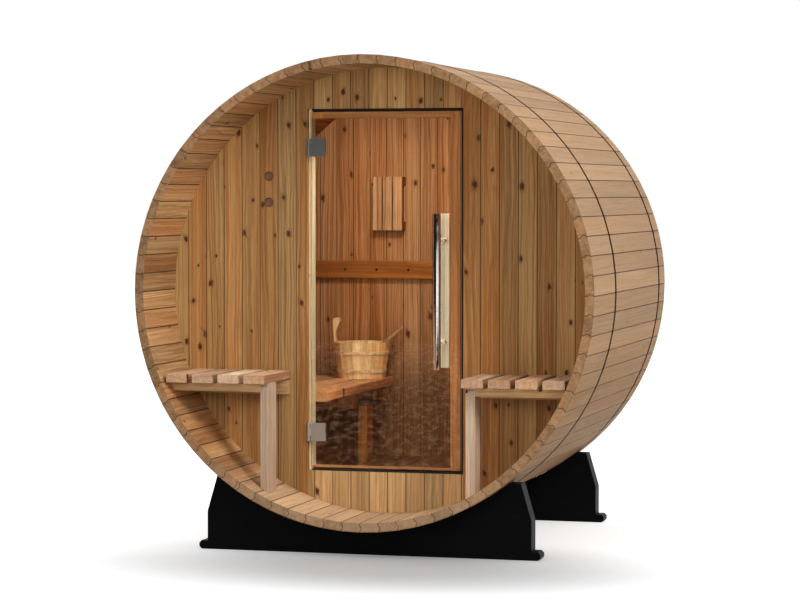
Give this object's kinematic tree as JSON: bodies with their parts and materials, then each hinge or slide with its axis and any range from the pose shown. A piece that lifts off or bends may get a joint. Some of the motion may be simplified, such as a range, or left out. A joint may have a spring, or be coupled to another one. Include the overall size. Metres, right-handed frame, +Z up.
{
  "type": "barrel sauna",
  "caption": "Round wooden barrel sauna on two cradles, with a porch, a hinged glass door, benches inside and out, and a water bucket.",
  "frame": {"origin": "on the ground under the middle of the barrel", "axes": "+Z up, +Y from the porch towards the rear wall along the barrel, +X to the right seen from the porch"},
  "size_m": [1.8342, 1.524, 1.9321],
  "materials": {
    "cedar_staves": "planed red cedar, clear, unsealed",
    "cedar_walls": "knotty red cedar tongue and groove, satin",
    "cedar_trim": "planed red cedar, unsealed",
    "cedar_cabin": "planed red cedar, unsealed",
    "pale_wood": "planed aspen, unsealed",
    "black_timber": "black stain over sawn timber",
    "hoop_steel": "rolled stainless band",
    "hinge_steel": "brushed stainless",
    "handle_chrome": "polished",
    "clear_glass": "clear tempered, 8 mm",
    "black_rubber": "matt extruded seal"
  },
  "bodies": {
    "barrel": {"staves_upper_right": "cedar_staves", "staves_lower_right": "cedar_staves", "staves_lower_left": "cedar_staves", "staves_upper_left": "cedar_staves", "hoop_front": "hoop_steel", "hoop_rear": "hoop_steel", "cradle_front": "black_timber", "cradle_rear": "black_timber", "front_wall_left": "cedar_walls", "front_wall_vent_board": "cedar_walls", "front_wall_right": "cedar_walls", "front_wall_head": "cedar_walls", "front_wall_sill": "cedar_walls", "rear_wall": "cedar_walls", "vent_cover": "cedar_cabin", "door_jamb": "pale_wood", "door_gasket": "black_rubber", "hinge_wall_leaves": "hinge_steel", "porch_slats_right": "cedar_trim", "porch_slats_left": "cedar_trim", "porch_frame_right": "cedar_trim", "porch_frame_left": "cedar_trim", "floor_boards": "cedar_cabin", "floor_joists": "cedar_cabin", "cabin_slats_right": "cedar_cabin", "cabin_slats_left": "cedar_cabin", "cabin_frame_right": "cedar_cabin", "cabin_frame_left": "cedar_cabin", "backrest_slats_right": "cedar_cabin", "backrest_slats_left": "cedar_cabin", "backrest_ribs_right": "cedar_cabin", "backrest_ribs_left": "cedar_cabin", "rear_rail": "cedar_cabin", "shade_battens": "cedar_cabin", "shade_slats": "cedar_trim", "bucket": "pale_wood", "bucket_hoops": "pale_wood", "ladle": "pale_wood"},
    "door": {"door_glass": "clear_glass", "hinge_clamps": "hinge_steel", "hinge_backplates": "hinge_steel", "handle_outer": "handle_chrome", "handle_inner": "pale_wood"}
  },
  "joints": [
    {"name": "door_hinge", "type": "hinge", "parent": "barrel", "child": "door", "pos_m": [-0.315, -0.408, 1.015], "axis": [0, 0, -1], "range_deg": [0, 95]}
  ]
}
